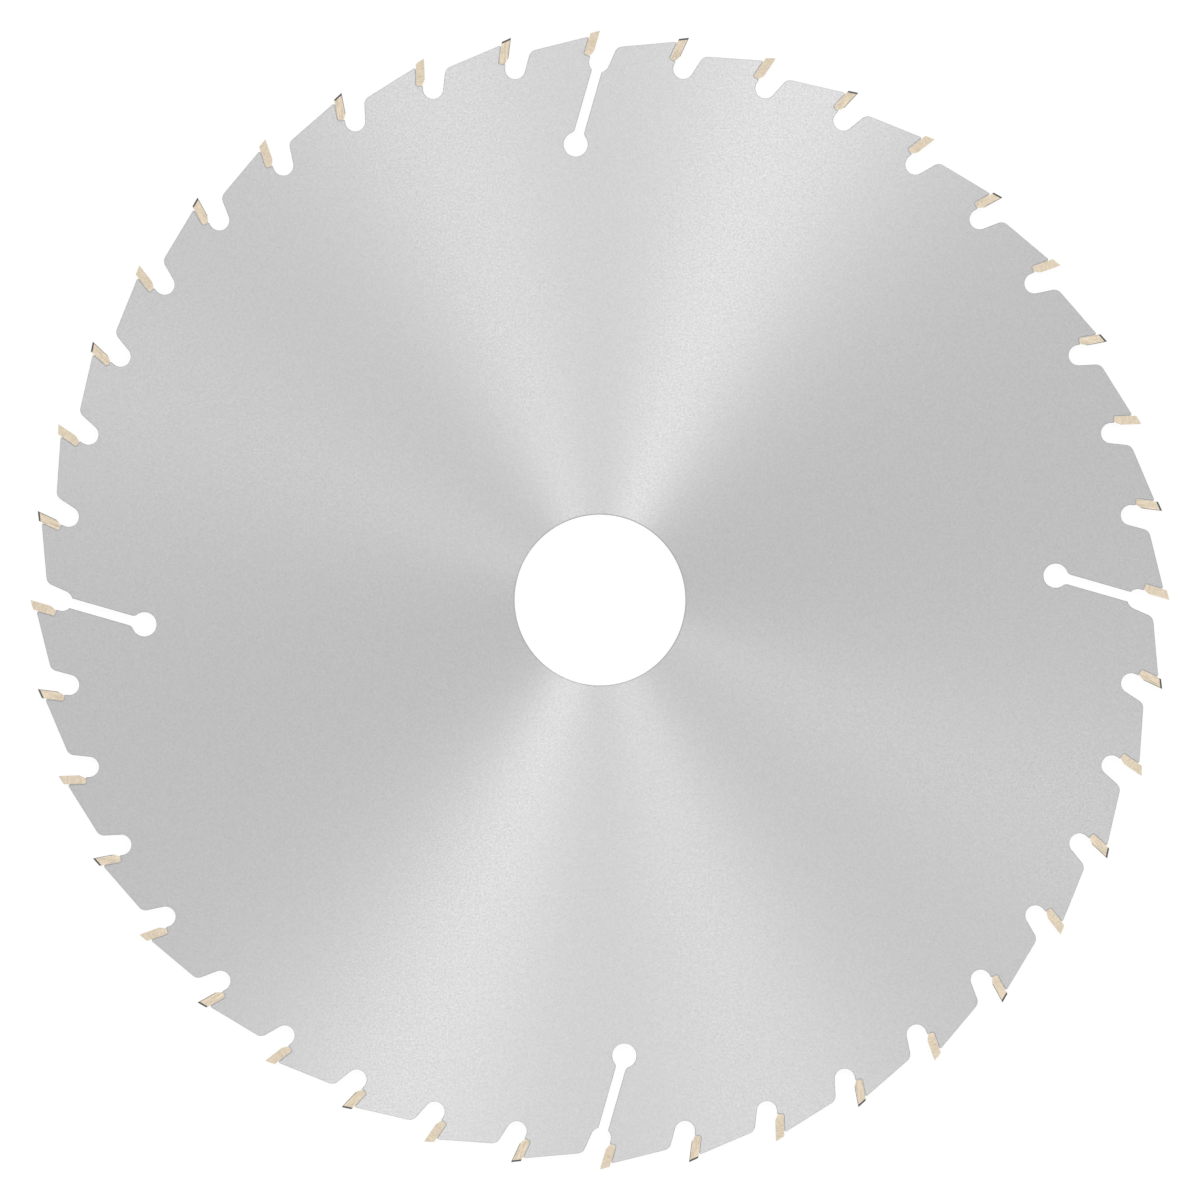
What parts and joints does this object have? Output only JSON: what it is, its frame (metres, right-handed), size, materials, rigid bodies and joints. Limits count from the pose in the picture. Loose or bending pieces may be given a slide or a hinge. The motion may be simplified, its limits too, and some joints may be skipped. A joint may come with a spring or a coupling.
{
  "type": "circular saw blade",
  "caption": "Flat steel circular saw blade with a plain round arbor bore, brazed carbide tips with alternating top bevels, and hooked keyhole expansion slots.",
  "frame": {"origin": "centre of the arbor bore, halfway through the plate's thickness", "axes": "+Z along the blade's axis, towards the side that the picture shows; +Y through the point of carbide_tip_01; the blade cuts clockwise seen from +Z"},
  "size_m": [0.2, 0.2, 0.002],
  "materials": {
    "plate_steel": "satin, ground in circles about the bore",
    "carbide": "ground, pale beige",
    "braze": "dull grey silver braze"
  },
  "bodies": {
    "root": {"saw_plate": "plate_steel", "braze_layers": "braze", "carbide_tip_01": "carbide", "carbide_tip_02": "carbide", "carbide_tip_03": "carbide", "carbide_tip_04": "carbide", "carbide_tip_05": "carbide", "carbide_tip_06": "carbide", "carbide_tip_07": "carbide", "carbide_tip_08": "carbide", "carbide_tip_09": "carbide", "carbide_tip_10": "carbide", "carbide_tip_11": "carbide", "carbide_tip_12": "carbide", "carbide_tip_13": "carbide", "carbide_tip_14": "carbide", "carbide_tip_15": "carbide", "carbide_tip_16": "carbide", "carbide_tip_17": "carbide", "carbide_tip_18": "carbide", "carbide_tip_19": "carbide", "carbide_tip_20": "carbide", "carbide_tip_21": "carbide", "carbide_tip_22": "carbide", "carbide_tip_23": "carbide", "carbide_tip_24": "carbide", "carbide_tip_25": "carbide", "carbide_tip_26": "carbide", "carbide_tip_27": "carbide", "carbide_tip_28": "carbide", "carbide_tip_29": "carbide", "carbide_tip_30": "carbide", "carbide_tip_31": "carbide", "carbide_tip_32": "carbide", "carbide_tip_33": "carbide", "carbide_tip_34": "carbide", "carbide_tip_35": "carbide", "carbide_tip_36": "carbide", "carbide_tip_37": "carbide", "carbide_tip_38": "carbide", "carbide_tip_39": "carbide", "carbide_tip_40": "carbide"}
  },
  "joints": []
}
